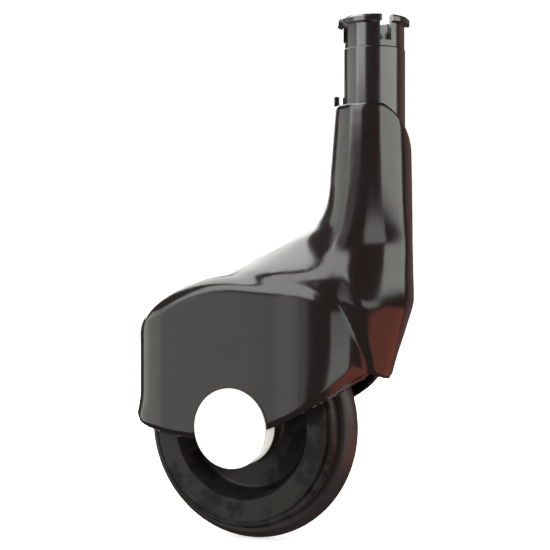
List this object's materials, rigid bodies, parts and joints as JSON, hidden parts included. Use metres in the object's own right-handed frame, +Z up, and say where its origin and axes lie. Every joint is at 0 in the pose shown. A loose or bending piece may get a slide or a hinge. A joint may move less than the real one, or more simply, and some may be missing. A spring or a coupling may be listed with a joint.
{
  "type": "chair caster wheel",
  "caption": "Hooded swivel caster for a chair: a moulded cover over one trailing wheel, with a snap-in stem that plugs into the chair's leg.",
  "frame": {"origin": "on the swivel axis, in the plane of the hood's upper rim, where the straight stem starts", "axes": "+Z up along the stem towards the chair, -X towards the trailing wheel, Y along the wheel's axle"},
  "size_m": [0.0777, 0.0262, 0.1341],
  "materials": {
    "hood_plastic": "black, high gloss moulding",
    "stem_plastic": "black, high gloss moulding",
    "cap_plastic": "white, satin",
    "wheel_plastic": "black, satin",
    "tyre_rubber": "black, satin, round tread",
    "steel": "zinc plated, turned",
    "bush_plastic": "natural bearing plastic"
  },
  "bodies": {
    "stem": {"stem_sleeve": "stem_plastic", "snap_collar": "stem_plastic", "upper_swivel_bush": "bush_plastic", "lower_swivel_bush": "bush_plastic"},
    "hood": {"hood_shell": "hood_plastic", "kingpin": "steel", "thrust_washer": "bush_plastic", "kingpin_head_washer": "steel", "kingpin_top_washer": "steel", "kingpin_clip": "steel", "axle_pin": "steel", "near_axle_cap": "cap_plastic", "far_axle_cap": "cap_plastic", "near_axle_washer": "steel", "far_axle_washer": "steel"},
    "wheel": {"wheel_core": "wheel_plastic", "tyre": "tyre_rubber", "near_hub_bush": "bush_plastic", "far_hub_bush": "bush_plastic"}
  },
  "joints": [
    {"name": "swivel", "type": "hinge", "parent": "stem", "child": "hood", "pos_m": [0, 0, -0.04], "axis": [0, 0, 1], "continuous": true},
    {"name": "wheel_spin", "type": "hinge", "parent": "hood", "child": "wheel", "pos_m": [-0.0345, 0, -0.082], "axis": [0, 1, 0], "continuous": true}
  ]
}
